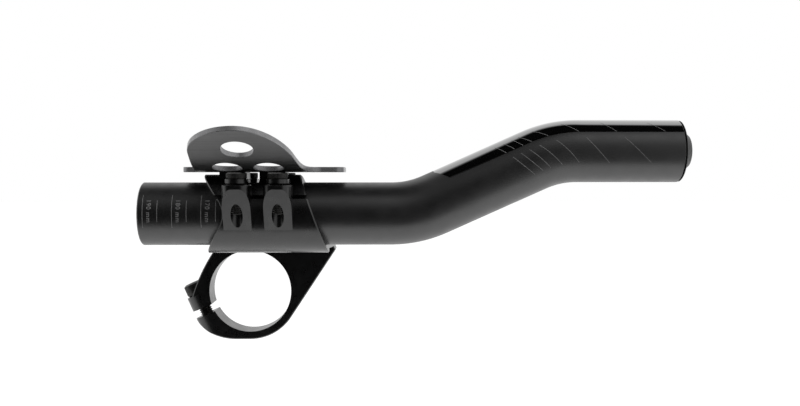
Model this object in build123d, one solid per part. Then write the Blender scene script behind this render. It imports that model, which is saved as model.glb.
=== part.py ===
from build123d import *
from math import cos, radians, sin, sqrt, tan
import os

# Clip-on aero handlebar extension: an S-bend tube held by a split clamp on a handlebar ring,
# with a bent armrest plate on top of the clamp.
# Millimetres and degrees. X runs forward along the tube, Y inboard, Z up.
# The origin is the centre of the handlebar bore, at the middle of the ring's width.

# Where the tube lies against the handlebar
bar_to_jaw = 1.95
tube_offset = 39.0
tube_rear_overhang = 33.1

# Extension tube
tube_diameter = 22.2
tube_wall = 2.0
rear_straight = 87.7
middle_straight = 38.5
front_straight = 37.0
bend_radius = 38.0
bend_angle = 24.0
tube_edge = 0.4

# Tip plug
plug_flange = 0.7
plug_flange_inset = 0.25
plug_button_diameter = 13.0
plug_button_height = 2.0
plug_button_bevel = 2.0
plug_button_edge = 0.5
plug_stem_length = 16.0
plug_stem_wall = 1.8
plug_rib_count = 3
plug_rib_height = 0.5
plug_rib_width = 1.4
plug_fit = 0.05

# Tube clamp, seen from the side
jaw_wall = 2.7
jaw_fit = 0.05
split_height = 6.2
split_gap = 1.3
clamp_rear_top = 11.6
clamp_rear_waist = 1.9
clamp_rear_bottom = 10.4
clamp_front_top = 22.6
clamp_front_bottom = 32.6
clamp_waist_height = 0.5
clamp_waist_radius = 8.0
clamp_run_out = 0.2
clamp_edge = 0.4

# Clamp bolts and their bosses
bolt_diameter = 4.0
bolt_head_diameter = 7.0
bolt_head_height = 2.2
bolt_length = 12.0
bolt_key = 3.0
bolt_key_depth = 1.3
bolt_edge = 0.3
bolt_fit = 0.05
bolt_pitch = 13.9
bolt_middle = 8.8
bolt_standoff = 1.55
bolt_hole_play = 0.25
boss_width = 9.6
boss_front = 4.6
boss_clearance = 0.2
boss_corner = 3.4
boss_edge = 0.6
boss_tilt = 27.0
boss_blend = 0.05
boss_drop = 3.35
ear_gap = 0.4
ear_thickness = 1.4
ear_rim = 0.4
bolt_hole_run_out = 5.5

# Armrest plate and the pads that carry it
head_clearance = 0.2
pad_length = 9.0
pad_width = 13.0
pad_shift = 2.7
crown_slot_drop = 3.65
crown_slot_run_out = 0.15
plate_thickness = 1.8
plate_rear = 18.0
plate_front = 38.0
plate_inboard = 27.0
plate_outer_corner = 3.0
plate_inner_corner = 12.0
wing_root_inset = 7.4
wing_angle = 26.5
wing_bend_radius = 38.2
wing_rear = 11.7
wing_height = 19.3
wing_rear_foot = 3.8
wing_front_foot = 0.4
wing_blend_radius = 8.0
wing_hole_diameter = 10.5
wing_hole_height = 6.6
wing_hole_forward = 4.4
access_hole_diameter = 10.0
access_hole_outset = 2.3

# Armrest screws, countersunk so that a pad lies flat on the plate
screw_diameter = 4.0
screw_rim = 0.15
screw_sink = 0.05
screw_tip_clearance = 0.35
screw_key = 2.5
screw_key_depth = 1.4
screw_hole_play = 0.25

# Handlebar ring and its pinch lugs
bar_diameter = 31.8
ring_width = 12.0
ring_wall = 3.0
ring_edge = 0.4
web_angle = 56.6
arm_top = 9.0
arm_foot = 1.7
arm_bulge = 1.55
gap_angle = 24.0
gap_width = 3.0
lug_overhang = 4.8
lug_lip = 0.3
lug_run = 5.6

# Bridge from the lower jaw to the ring
bridge_wall_at_ring = 6.6
bridge_drop_at_jaw = 2.7
bridge_clearance = 1.1
bridge_inset = 0.8
bridge_corner = 2.5

# Pinch bolt
pinch_diameter = 5.0
pinch_head_diameter = 8.5
pinch_head_height = 5.0
pinch_length = 14.0
pinch_key = 4.0
pinch_key_depth = 2.5
pinch_edge = 0.4
pinch_wall = 1.6
pinch_seat = 7.1
pinch_seat_play = 0.35

# Values worked out from the driving dimensions
tube_radius = tube_diameter / 2
tube_bore = tube_radius - tube_wall
jaw_bore = tube_radius + jaw_fit
jaw_outer = jaw_bore + jaw_wall
bar_radius = bar_diameter / 2
ring_outer = bar_radius + ring_wall
tube_y = -tube_offset
tube_z = bar_radius + bar_to_jaw + jaw_outer
bolt_offset = jaw_outer + bolt_standoff
bolt_xs = [bolt_middle - bolt_pitch / 2, bolt_middle + bolt_pitch / 2]
boss_reach = bolt_offset + boss_front
boss_top = jaw_outer - boss_drop
ear_bottom = boss_top + ear_gap
ear_top = ear_bottom + ear_thickness
pad_top = ear_top + bolt_head_height + head_clearance
screw_xs = [x - pad_shift for x in bolt_xs]
screw_reach = pad_top - jaw_bore - screw_tip_clearance
wing_root = bolt_offset - wing_root_inset
wing_rear_radius = wing_height - wing_rear_foot
wing_front_radius = wing_height - wing_front_foot
pinch_distance = bar_radius + pinch_wall + pinch_diameter / 2
lug_reach = pinch_distance + lug_overhang
bridge_top_at_ring = bar_radius + bridge_wall_at_ring
bridge_top_at_jaw = tube_z - bridge_drop_at_jaw
far = 4 * (tube_z + tube_offset)


def prism_along_x(outline, x_low, x_high):
    """Solid of an outline drawn in Y and Z."""
    plane = Plane((x_low, 0, 0), x_dir=(0, 1, 0), z_dir=(1, 0, 0))
    return extrude(plane * outline, amount=x_high - x_low, dir=(1, 0, 0))


def prism_along_y(outline, y_low, y_high):
    """Solid of an outline drawn in X and Z."""
    plane = Plane((0, y_low, 0), x_dir=(1, 0, 0), z_dir=(0, -1, 0))
    return extrude(plane * outline, amount=y_high - y_low, dir=(0, 1, 0))


def prism_along_z(outline, z_low, z_high):
    """Solid of an outline drawn in X and Y."""
    return extrude(Pos(0, 0, z_low) * outline, amount=z_high - z_low, dir=(0, 0, 1))


def rounded(points, radii):
    """Closed outline with a radius at each corner."""
    return make_face(FilletPolyline(*points, radius=radii, close=True))


def slab(z_low, z_high):
    """Everything between two heights."""
    return Pos(0, 0, (z_low + z_high) / 2) * Box(far, far, z_high - z_low)


def tube_cylinder(radius):
    """Long cylinder on the axis of the tube's rear straight."""
    return prism_along_x(Pos(tube_y, tube_z) * Circle(radius), -far / 2, far / 2)


def bar_cylinder(radius):
    """Long cylinder on the handlebar's axis."""
    return prism_along_y(Circle(radius), -far / 2, far / 2)


def tube_path():
    """Centre line of the tube: three straights joined by two equal and opposite bends."""
    corner = bend_radius * tan(radians(bend_angle / 2))
    slope = middle_straight + 2 * corner
    rear = Vector(-tube_rear_overhang, tube_y, tube_z)
    low = rear + Vector(rear_straight + corner, 0, 0)
    high = low + Vector(slope * cos(radians(bend_angle)), 0, slope * sin(radians(bend_angle)))
    tip = high + Vector(corner + front_straight, 0, 0)
    return FilletPolyline(rear, low, high, tip, radius=bend_radius)


def extension_tube():
    path = tube_path()
    start = Plane(path @ 0, x_dir=(0, 1, 0), z_dir=(1, 0, 0))
    tube = sweep(start * (Circle(tube_radius) - Circle(tube_bore)), path=path)
    return chamfer(tube.faces().sort_by(Axis.X)[0].edges(), tube_edge)


def tip_plug():
    """Turned plug: bevelled button, flange and a hollow stem with ribs that grip the tube's bore."""
    rib = tube_bore - plug_fit
    stem = rib - plug_rib_height
    flange = tube_radius - plug_flange_inset
    button = plug_button_diameter / 2
    face = plug_flange + plug_button_height
    inside = stem - plug_stem_wall
    body = rounded(
        [
            (0, 0),
            (flange, 0),
            (flange, plug_flange),
            (button, plug_flange),
            (button - plug_button_bevel, face),
            (0, face),
        ],
        [0, 0, plug_flange / 3, plug_button_edge / 2, plug_button_edge, 0],
    )
    end = -plug_stem_length
    wall = Polygon((inside, end), (stem, end), (stem, 0), (inside, 0), align=None)
    step = plug_stem_length / (plug_rib_count + 1)
    profile = body + wall
    for index in range(plug_rib_count):
        low = -step * (index + 1)
        high = low + plug_rib_width
        profile += Polygon((inside, low), (stem, low), (rib, high), (inside, high), align=None)
    tip = tube_path() @ 1
    seat = Plane(tip, x_dir=(0, 1, 0), z_dir=(0, 0, -1))
    return revolve(seat * profile, axis=Axis(tip, (1, 0, 0)))


def clamp_side():
    """Side view of the tube clamp, run out past the wall: waisted at the rear, raked at the front."""
    waist = Vector(-clamp_rear_waist, tube_z + clamp_waist_height)
    rear_top = Vector(-clamp_rear_top, tube_z + jaw_outer)
    rear_bottom = Vector(-clamp_rear_bottom, tube_z - jaw_outer)
    front_top = Vector(clamp_front_top, tube_z + jaw_outer)
    front_bottom = Vector(clamp_front_bottom, tube_z - jaw_outer)
    run_out = (front_top - front_bottom) * clamp_run_out
    points = [
        waist + (rear_top - waist) * (1 + clamp_run_out),
        waist,
        waist + (rear_bottom - waist) * (1 + clamp_run_out),
        front_bottom - run_out,
        front_top + run_out,
    ]
    return rounded(points, [0, clamp_waist_radius, 0, 0, 0])


def jaw_shell(z_low, z_high):
    """Stretch of the clamp's wall round the tube, with its open ends broken."""
    wall = tube_cylinder(jaw_outer) & prism_along_y(clamp_side(), tube_y - jaw_outer, tube_y + jaw_outer)
    skin = wall.faces().filter_by(GeomType.CYLINDER).sort_by(SortBy.AREA)[-1]
    ends = skin.edges().filter_by(GeomType.LINE, reverse=True)
    return chamfer(ends, clamp_edge) & slab(z_low, z_high)


def boss_plan(x, side, back):
    """Plan of a bolt boss, from `back` out to its rounded front."""
    points = [
        (x - boss_width / 2, tube_y + side * back),
        (x + boss_width / 2, tube_y + side * back),
        (x + boss_width / 2, tube_y + side * boss_reach),
        (x - boss_width / 2, tube_y + side * boss_reach),
    ]
    return rounded(points, [0, 0, boss_corner, boss_corner])


def bolt_boss(x, side):
    """Boss that passes the cap and whose slanted front lies flush with the jaw's wall lower down."""
    jaw_top = split_height - split_gap / 2
    cap_half_width = sqrt(jaw_outer**2 - (split_height + split_gap / 2) ** 2)
    low = tube_z - jaw_outer * sin(radians(boss_tilt))
    foot = prism_along_z(boss_plan(x, side, 0), low, tube_z + jaw_top)
    head = prism_along_z(boss_plan(x, side, cap_half_width + boss_clearance), low, tube_z + boss_top)
    outward = Vector(0, side * cos(radians(boss_tilt)), -sin(radians(boss_tilt)))
    front = Plane(Vector(0, tube_y, tube_z) + outward * (jaw_outer - boss_blend), z_dir=outward)
    boss = split(foot + head, bisect_by=front, keep=Keep.BOTTOM)
    return fillet(boss.faces().sort_by(Axis.Z)[-1].edges(), boss_edge)


def ear_plan(x, side):
    """Plan of one of the cap's ears, from the middle of the cap out round its bolt."""
    rim = bolt_head_diameter / 2 + ear_rim
    block = Pos(x, tube_y + side * bolt_offset / 2) * Rectangle(2 * rim, bolt_offset)
    return block + Pos(x, tube_y + side * bolt_offset) * Circle(rim)


def bolt_places():
    """Plan position of every clamp bolt."""
    return [(x, tube_y + side * bolt_offset) for side in (-1, 1) for x in bolt_xs]


def pinch_point(outward, upward):
    """Point in X and Z, measured along the ring's gap and square to it."""
    angle = radians(gap_angle)
    return (
        -outward * cos(angle) - upward * sin(angle),
        -outward * sin(angle) + upward * cos(angle),
    )


def pinch_frame():
    """Plane on the gap at the pinch bolt: X away from the bar, Z along the bolt to its head."""
    centre = pinch_point(pinch_distance, 0)
    outward = pinch_point(1, 0)
    upward = pinch_point(0, 1)
    return Plane(
        (centre[0], 0, centre[1]), x_dir=(outward[0], 0, outward[1]), z_dir=(upward[0], 0, upward[1])
    )


def rake_x(z):
    """The clamp's raked front edge at a height."""
    lean = (clamp_front_bottom - clamp_front_top) / (2 * jaw_outer)
    return clamp_front_bottom - lean * (z - tube_z + jaw_outer)


def waist_x(z):
    """The clamp's rear edge below its waist, at a height."""
    lean = (clamp_rear_bottom - clamp_rear_waist) / (jaw_outer + clamp_waist_height)
    return lean * (z - tube_z + jaw_outer) - clamp_rear_bottom


def ring_side():
    """Side view of the handlebar ring with its web, arm and lugs, before the bore is cut."""
    top = bridge_top_at_ring

    # The web's front edge leaves the ring along a tangent and stops at the clamp's raked front.
    web = radians(web_angle)
    lean = rake_x(0) - rake_x(1)
    knee = (rake_x(0) - ring_outer / sin(web)) / (1 / tan(web) + lean)
    web_foot = (ring_outer * sin(web), -ring_outer * cos(web))

    # The arm's edge swells a little on its way down to the seat on the upper lug.
    arm_high = Vector(-arm_top, top)
    arm_low = Vector(*pinch_point(pinch_distance + arm_foot, pinch_seat))
    arm = SagittaArc(arm_high, arm_low, -arm_bulge)

    # The lower lug sweeps round to the bottom of the ring.
    lip = pinch_point(lug_reach, -gap_width / 2 - lug_lip)
    lug_root = (-lug_run, -ring_outer)
    lug = TangentArc(lug_root, lip, tangent=(-1, 0))
    bottom = (0, -ring_outer)
    under = web / 2
    ring = ThreePointArc(bottom, (ring_outer * sin(under), -ring_outer * cos(under)), web_foot)

    front = Polyline(web_foot, (rake_x(knee), knee), (rake_x(top), top), arm_high)
    end = Polyline(arm_low, pinch_point(lug_reach, pinch_seat), lip)
    side = make_face([*front.edges(), arm, *end.edges(), lug, Line(lug_root, bottom), ring])
    side = fillet(side.vertices().sort_by_distance((rake_x(top), top))[0], bridge_corner)
    return fillet(side.vertices().sort_by_distance((arm_high.X, arm_high.Y))[0], bridge_corner)


def handlebar_ring():
    """The split ring: its side view across the ring's width, with broken edges and rounded lugs."""
    half = ring_width / 2
    ring = prism_along_y(ring_side(), -half, half)
    ring = chamfer(ring.faces().filter_by(Axis.Y).edges(), ring_edge)
    height = pinch_seat + ring_outer
    inner = Box(2 * ring_width, 2 * ring_width, height, align=(Align.MAX, Align.CENTER, Align.CENTER))
    corner = Box(2 * ring_width, 2 * ring_width, height) - Pos(lug_overhang - half, 0, 0) * (
        Cylinder(half, height) + inner)
    return ring - pinch_frame() * Pos(0, 0, pinch_seat - height / 2) * corner


def bridge():
    """Arm of the forging from the lower jaw across to the ring, clear of the handlebar."""
    half = ring_width / 2
    section = make_face(Polyline(
        (tube_y, tube_z - jaw_outer + jaw_wall / 2),
        (half, bar_radius + bridge_clearance),
        (half, bridge_top_at_ring),
        (-half, bridge_top_at_ring),
        (tube_y + jaw_outer - jaw_wall / 2, bridge_top_at_jaw),
        close=True,
    ))
    side = make_face(Polyline(
        (rake_x(0), 0),
        (rake_x(bridge_top_at_jaw), bridge_top_at_jaw),
        (waist_x(bridge_top_at_jaw) + bridge_inset, bridge_top_at_jaw),
        (waist_x(0) + bridge_inset, 0),
        close=True,
    ))
    block = prism_along_x(section, -far / 2, far / 2) & prism_along_y(side, tube_y, half)
    tops = block.faces().filter_by(lambda face: face.normal_at().Z > cos(radians(45)))
    front = [face.edges().sort_by(Axis.X)[-1] for face in tops]
    rear = [face.edges().sort_by(Axis.X)[0] for face in tops]
    return fillet(front + rear, bridge_corner)


def clamp_body():
    """Forging: lower jaw with its bosses, bridge and handlebar ring in one piece."""
    jaw_top = tube_z + split_height - split_gap / 2
    body = jaw_shell(tube_z - jaw_outer, jaw_top) + bridge()
    for side in (-1, 1):
        for x in bolt_xs:
            body += bolt_boss(x, side)
    body += handlebar_ring()
    body -= tube_cylinder(jaw_bore)
    body -= bar_cylinder(bar_radius)

    # Threaded holes of the clamp bolts, which run out through the slanted boss fronts.
    depth = boss_top + bolt_hole_run_out
    for x, y in bolt_places():
        body -= Pos(x, y, tube_z + boss_top - depth / 2) * Cylinder(bolt_diameter / 2 + bolt_fit, depth)

    # Gap, bolt hole and head seat of the pinch lugs.
    pinch = pinch_frame()
    body -= pinch * Box(2 * (pinch_distance - bar_radius / 2), 2 * ring_width, gap_width)
    length = pinch_length + ring_outer
    body -= pinch * Pos(0, 0, -length / 2) * Cylinder(pinch_diameter / 2 + bolt_fit, length)
    body -= pinch * Pos(0, 0, pinch_seat / 2) * Cylinder(pinch_diameter / 2 + bolt_hole_play, pinch_seat)
    seat = pinch_head_diameter / 2 + pinch_seat_play
    body -= pinch * Pos(0, 0, pinch_seat + length / 2) * Cylinder(seat, length)
    return body


def clamp_cap():
    """Upper jaw, with an ear over each boss and two pads for the armrest plate."""
    cap = jaw_shell(tube_z + split_height + split_gap / 2, tube_z + jaw_outer)
    slot_low = screw_xs[0] + pad_length / 2
    slot_high = screw_xs[1] - pad_length / 2
    for x in screw_xs:
        cap += Pos(x, tube_y, tube_z + (split_height + pad_top) / 2) * Box(
            pad_length, pad_width, pad_top - split_height)
    for side in (-1, 1):
        for x in bolt_xs:
            cap += prism_along_z(ear_plan(x, side), tube_z + ear_bottom, tube_z + ear_top)
    slot_floor = jaw_outer - crown_slot_drop
    slot_width = 2 * (sqrt(jaw_outer**2 - slot_floor**2) + crown_slot_run_out)
    cap -= Pos((slot_low + slot_high) / 2, tube_y, tube_z + (slot_floor + pad_top) / 2) * Box(
        slot_high - slot_low, slot_width, pad_top - slot_floor)
    cap -= tube_cylinder(jaw_bore)
    for x, y in bolt_places():
        cap -= Pos(x, y, tube_z + ear_top) * Cylinder(bolt_diameter / 2 + bolt_hole_play, 2 * pad_top)
    for x in screw_xs:
        cap -= Pos(x, tube_y, tube_z + pad_top) * Cylinder(screw_diameter / 2 + bolt_fit, 2 * pad_top)
    return cap


def key_socket(key, depth, top):
    """Hexagonal recess for a key, measured across its flats, down from a given height."""
    return prism_along_z(RegularPolygon(key / 2, 6, major_radius=False), top - depth, top)


def cap_screw(diameter, length, head_diameter, head_height, key, key_depth, edge):
    """Socket-head bolt with its head's seat at the origin and its shank pointing down."""
    head = Pos(0, 0, head_height / 2) * Cylinder(head_diameter / 2, head_height)
    head = chamfer(head.faces().sort_by(Axis.Z)[-1].edges(), edge)
    shank = Pos(0, 0, -length / 2) * Cylinder(diameter / 2, length)
    shank = chamfer(shank.faces().sort_by(Axis.Z)[0].edges(), edge)
    return head + shank - key_socket(key, key_depth, head_height)


def clamp_bolts():
    bolt = cap_screw(
        bolt_diameter, bolt_length, bolt_head_diameter, bolt_head_height,
        bolt_key, bolt_key_depth, bolt_edge,
    )
    return [Pos(x, y, tube_z + ear_top) * bolt for x, y in bolt_places()]


def bar_clamp_bolt():
    bolt = cap_screw(
        pinch_diameter, pinch_length, pinch_head_diameter, pinch_head_height,
        pinch_key, pinch_key_depth, pinch_edge,
    )
    return pinch_frame() * Pos(0, 0, pinch_seat) * bolt


def sunk_cone(height):
    """Cone of a countersunk head: as wide as the thread at the origin, flaring upwards by 45 degrees."""
    narrow = screw_diameter / 2
    return Pos(0, 0, height / 2) * Cone(narrow, narrow + height, height)


def countersunk_screw():
    """Flat-head screw with the foot of its cone at the origin and its shank pointing down."""
    cone = plate_thickness - screw_rim - screw_sink
    top = cone + screw_rim
    rim = Pos(0, 0, cone + screw_rim / 2) * Cylinder(screw_diameter / 2 + cone, screw_rim)
    shank = Pos(0, 0, -screw_reach / 2) * Cylinder(screw_diameter / 2, screw_reach)
    return sunk_cone(cone) + rim + shank - key_socket(screw_key, screw_key_depth, top)


def armrest_screws():
    screw = countersunk_screw()
    return [Pos(x, tube_y, tube_z + pad_top) * screw for x in screw_xs]


def wing_plane():
    """Plane of the wing's underside where the bend ends: X forward, Y up the slope."""
    lean = radians(wing_angle)
    outer = wing_bend_radius + plate_thickness
    foot_y = tube_y - wing_root - outer * sin(lean)
    foot_z = tube_z + pad_top + outer * (1 - cos(lean))
    return Plane((0, foot_y, foot_z), x_dir=(1, 0, 0), z_dir=(0, -sin(lean), -cos(lean)))


def wing_sheet(outline):
    """Sheet of the wing's slope with the given outline."""
    plane = wing_plane()
    return extrude(plane * outline, amount=plate_thickness, dir=-plane.z_dir)


def wing_bend(x_low, x_high):
    """Bend between the flat part and the wing."""
    low = tube_z + pad_top
    root = tube_y - wing_root
    axis = Axis((0, root, low + plate_thickness + wing_bend_radius), (1, 0, 0))
    plane = Plane((0, root, low), x_dir=(1, 0, 0), z_dir=(0, -1, 0))
    edge = Pos((x_low + x_high) / 2, plate_thickness / 2) * Rectangle(x_high - x_low, plate_thickness)
    return revolve(plane * edge, axis=axis, revolution_arc=-wing_angle)


def wing_lobe():
    """Outline of the wing's slope: straight at the foot, then two arcs that meet at the top."""
    top = (wing_rear_radius - wing_rear, wing_height)
    front = top[0] + wing_front_radius
    rear_shoulder = (-wing_rear, wing_height - wing_rear_radius)
    front_shoulder = (front, wing_height - wing_front_radius)
    return make_face([
        Line((-wing_rear, 0), rear_shoulder),
        TangentArc(rear_shoulder, top, tangent=(0, 1)),
        TangentArc(top, front_shoulder, tangent=(1, 0)),
        Line(front_shoulder, (front, 0)),
        Line((front, 0), (-wing_rear, 0)),
    ])


def armrest_plate():
    """Bent sheet: a flat part on the pads and a rounded wing that flares up on the outboard side."""
    low = tube_z + pad_top
    root = tube_y - wing_root
    inboard = tube_y + plate_inboard
    wing_front = wing_rear_radius + wing_front_radius - wing_rear
    blend_end = wing_front + wing_blend_radius

    flat = rounded(
        [(-plate_rear, root), (plate_front, root), (plate_front, inboard), (-plate_rear, inboard)],
        [plate_outer_corner, plate_outer_corner, plate_inner_corner, plate_inner_corner],
    )
    plate = prism_along_z(flat, low, low + plate_thickness)
    plate += wing_bend(-wing_rear, wing_front) + wing_sheet(wing_lobe())

    # Hollow corner that leads the wing's front edge into the edge of the flat part.
    square = Pos(wing_front, root - wing_blend_radius) * Rectangle(
        wing_blend_radius, wing_blend_radius, align=(Align.MIN, Align.MIN))
    corner = square - Pos(blend_end, root - wing_blend_radius) * Circle(wing_blend_radius)
    slope = Pos(wing_front, 0) * Rectangle(
        wing_blend_radius, 2 * wing_blend_radius, align=(Align.MIN, Align.MIN))
    fold = wing_bend(wing_front, blend_end) + wing_sheet(slope)
    plate += fold & prism_along_z(corner, low - far / 2, low + far / 2)

    # Lightening hole in the wing, key holes over the clamp bolts, and countersunk screw holes.
    plate -= wing_plane() * Pos(wing_hole_forward, wing_hole_height) * Cylinder(
        wing_hole_diameter / 2, 4 * plate_thickness)
    for x in screw_xs:
        for side in (-1, 1):
            plate -= Pos(x, tube_y + side * (bolt_offset + access_hole_outset), low) * Cylinder(
                access_hole_diameter / 2, wing_height)
        plate -= Pos(x, tube_y, low) * Cylinder(screw_diameter / 2 + screw_hole_play, 4 * plate_thickness)
        plate -= Pos(x, tube_y, low) * sunk_cone(plate_thickness)
    return plate


def write(name, shape):
    """One STEP file for a node: a single solid, or a group of like solids."""
    group = Compound(children=shape) if isinstance(shape, list) else shape
    export_step(group, f"parts/{name}.step")


def main():
    os.makedirs("parts", exist_ok=True)
    write("extension_tube", extension_tube())
    write("tip_plug", tip_plug())
    write("clamp_body", clamp_body())
    write("clamp_cap", clamp_cap())
    write("clamp_bolts", clamp_bolts())
    write("bar_clamp_bolt", bar_clamp_bolt())
    write("armrest_plate", armrest_plate())
    write("armrest_screws", armrest_screws())


if __name__ == "__main__":
    main()
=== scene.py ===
from math import asin, ceil, cos, pi, radians, sin

import bpy
from bpy.props import FloatProperty, FloatVectorProperty, IntProperty, PointerProperty
from bpy.types import Operator, Panel, PropertyGroup
from mathutils import Matrix, Vector
from mathutils.geometry import delaunay_2d_cdt


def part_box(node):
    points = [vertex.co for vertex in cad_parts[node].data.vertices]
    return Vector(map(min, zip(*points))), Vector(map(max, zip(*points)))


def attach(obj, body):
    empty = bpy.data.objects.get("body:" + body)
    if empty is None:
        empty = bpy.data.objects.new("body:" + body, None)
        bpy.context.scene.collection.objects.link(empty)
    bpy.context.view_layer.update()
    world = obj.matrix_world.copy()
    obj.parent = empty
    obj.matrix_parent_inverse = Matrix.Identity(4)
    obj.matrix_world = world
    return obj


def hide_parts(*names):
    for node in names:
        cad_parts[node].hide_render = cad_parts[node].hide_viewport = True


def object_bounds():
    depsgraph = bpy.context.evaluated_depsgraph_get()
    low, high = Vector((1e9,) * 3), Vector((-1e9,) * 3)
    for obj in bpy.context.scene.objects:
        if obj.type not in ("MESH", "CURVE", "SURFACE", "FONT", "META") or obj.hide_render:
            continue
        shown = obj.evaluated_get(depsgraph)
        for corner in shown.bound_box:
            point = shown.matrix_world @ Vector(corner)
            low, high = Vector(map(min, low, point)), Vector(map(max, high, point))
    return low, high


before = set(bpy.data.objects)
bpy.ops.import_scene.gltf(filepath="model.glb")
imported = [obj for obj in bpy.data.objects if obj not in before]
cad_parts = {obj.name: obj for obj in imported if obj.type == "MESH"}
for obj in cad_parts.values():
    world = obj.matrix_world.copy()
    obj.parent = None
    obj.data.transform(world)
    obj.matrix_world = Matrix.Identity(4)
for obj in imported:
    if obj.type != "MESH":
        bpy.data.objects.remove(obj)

bl_info = {
    "name": "Aero Handlebar Extension",
    "version": (1, 0, 0),
    "blender": (4, 5, 0),
    "location": "View3D > Sidebar > Aero Bar",
    "description": "Finishes, printed marks and threaded fasteners of a clip-on aero handlebar extension",
    "category": "Object",
}

# Lengths are in metres. X runs forward along the tube, Y inboard along the handlebar and Z up.
CAD_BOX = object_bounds()
TUBE_LOW, TUBE_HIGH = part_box("extension_tube")
TUBE_RADIUS = (TUBE_HIGH.y - TUBE_LOW.y) / 2
TUBE_Y = (TUBE_HIGH.y + TUBE_LOW.y) / 2
REAR_Z = TUBE_LOW.z + TUBE_RADIUS
FRONT_Z = TUBE_HIGH.z - TUBE_RADIUS
MILLIMETRE = 0.001
SENSOR_WIDTH = 36.0
NEAR_CLIP = 0.01

# Meshes
BREAK_ANGLE = radians(35.0)
CREASE = radians(30.0)
TURNED_POINTS = 96
PLUG_FIT = 0.05 * MILLIMETRE
RIM_TOLERANCE = 0.01 * MILLIMETRE

# Printed marks
STROKE_STEP = radians(2.0)
PANEL_TURN_STEP = radians(1.5)
PANEL_RING_STEPS = 1.5  # spacing of the gloss panel's stations, in rings of the tube
PANEL_CORNER_RISE = 1.6  # how fast the panel's end slants back from its corners
LETTER_STEPS = 4
LETTER_SPACING = 1.12
HAIR_ON_PANEL = 62.0, 37.0  # degrees above the tube's side
HAIR_BELOW_PANEL = 24.0, -22.0
HAIR_EVEN_STEPS = 3  # hairlines before their distance grows
HAIR_EQUAL_LEANS = 2  # hairlines before their lean grows

# Bolts: a knurl's depth, and shares of the head's height, the thread's pitch and its diameter
KNURL = 0.00012
HEAD_EDGE = 0.1
THREAD_RINGS = 6
THREAD_DEPTH = 0.54
THREAD_CREST = 0.15
THREAD_FLANK = 0.7
BOLT_POINT = 0.08

# Armrest plate: pulls of its curves as shares of their spans, numbers of steps, and the mesh of its faces
END_PULL = 0.14
WAIST_PULL_OUT = 0.58
WAIST_PULL_IN = 0.40
TOP_PULL = 0.54
SHOULDER_PULL = 0.55
RAKE = Vector((0.25, -1))  # slope of the front edge at its waist
CURVE_STEPS = 24
LARGE_CORNER_STEPS = 16
SMALL_CORNER_STEPS = 8
REAR_EDGE_STEPS = 12
HOLE_STEPS = 48
FILL_STEP = 0.002
KEEP_INSIDE = 1  # the triangulation keeps what lies inside its borders
FILL_TOLERANCE = 1e-6

# Noise textures keep mostly between these two values.
NOISE_LOW = 0.3
NOISE_HIGH = 0.7

# Areas of the studio that show in reflections. Each is a product of smooth steps along an axis of the
# direction, given by the start and end of the step and the levels of light before and after it.
BACKDROP = (("Y", -0.65, 0.0, 0.01, 1.0), ("Z", 0.82, 0.92, 1.0, 0.003))
HIGH_GLOW = (
    ("X", -0.4, 0.25, 0.0, 1.0),
    ("Y", -1.0, -0.6, 0.0, 1.0),
    ("Z", 0.86, 0.93, 1.0, 0.0),
    ("Z", 0.1, 0.4, 0.0, 1.0),
)
TIP_GLOW = (("X", 0.2, 0.5, 0.0, 0.65), ("Z", 0.3, 0.6, 1.0, 0.0))


def length(label, text, default):
    return FloatProperty(
        name=label, description=text, default=default, min=0, precision=6, unit="LENGTH", subtype="DISTANCE"
    )


def angle(label, text, default):
    return FloatProperty(name=label, description=text, default=radians(default), subtype="ANGLE")


def factor(label, text, default):
    return FloatProperty(name=label, description=text, default=default, min=0, max=1, subtype="FACTOR")


def colour(label, text, default):
    return FloatVectorProperty(
        name=label, description=text, default=default, size=3, min=0, max=1, subtype="COLOR"
    )


def position(label, text, default):
    return FloatVectorProperty(
        name=label, description=text, default=default, size=3, subtype="TRANSLATION", unit="LENGTH"
    )


class TubeSizes(PropertyGroup):
    """Shape of the S-bend tube that its box doesn't give."""

    wall: length("Wall", "Thickness of the tube's wall", 0.002)
    bend_radius: length("Bend radius", "Radius of both bends on the centre line", 0.038)
    bend_angle: angle("Bend angle", "Turn of each bend", 24.0)
    front_straight: length("Front straight", "Straight stretch before the tip", 0.037)
    edge: length("End edge", "Broken edges of both ends", 0.0004)
    tip_trim: length("Tip trim", "How far the tip is cut back for the joint of its plug", 0.0007)
    ring_step: length("Ring spacing", "Distance between rings of the mesh", 0.0015)
    ring_points: IntProperty(name="Ring points", description="Points round each ring", default=144, min=24)


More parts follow.
